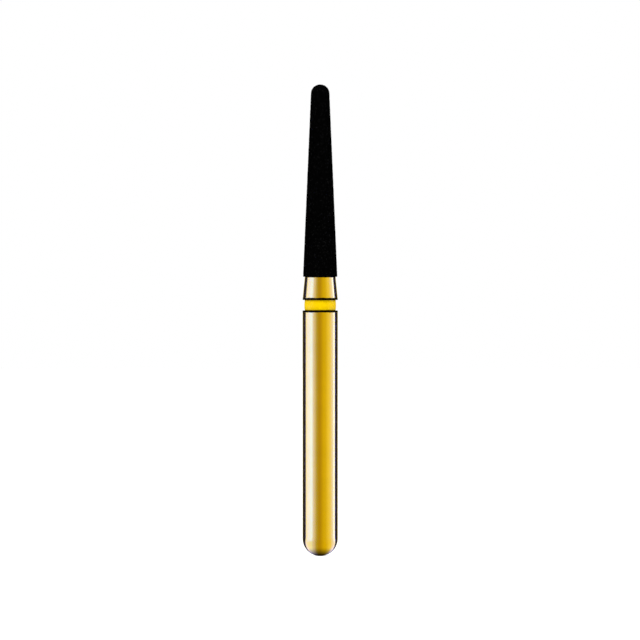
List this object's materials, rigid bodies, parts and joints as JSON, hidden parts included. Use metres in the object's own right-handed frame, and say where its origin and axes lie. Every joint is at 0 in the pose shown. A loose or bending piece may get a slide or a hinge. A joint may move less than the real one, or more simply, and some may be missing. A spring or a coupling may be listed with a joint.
{
  "type": "dental bur",
  "caption": "Slim rotary cutting bur: plain round shank with a domed end, grooved and colour-banded below a flared collar, and a long tapered ball-ended head coated in black grit.",
  "frame": {"origin": "lowest point of the domed shank end, on the axis", "axes": "+Z along the axis of the bur, from the shank end towards the tip of the head; X and Y are any two directions across it, because every piece is a body of revolution"},
  "size_m": [0.0016, 0.0016, 0.0214],
  "materials": {
    "gold_plate": "polished",
    "yellow_enamel": "gloss",
    "black_grit": "matte"
  },
  "bodies": {
    "root": {"shank_blank": "gold_plate", "colour_band": "yellow_enamel", "diamond_coat": "black_grit"}
  },
  "joints": []
}
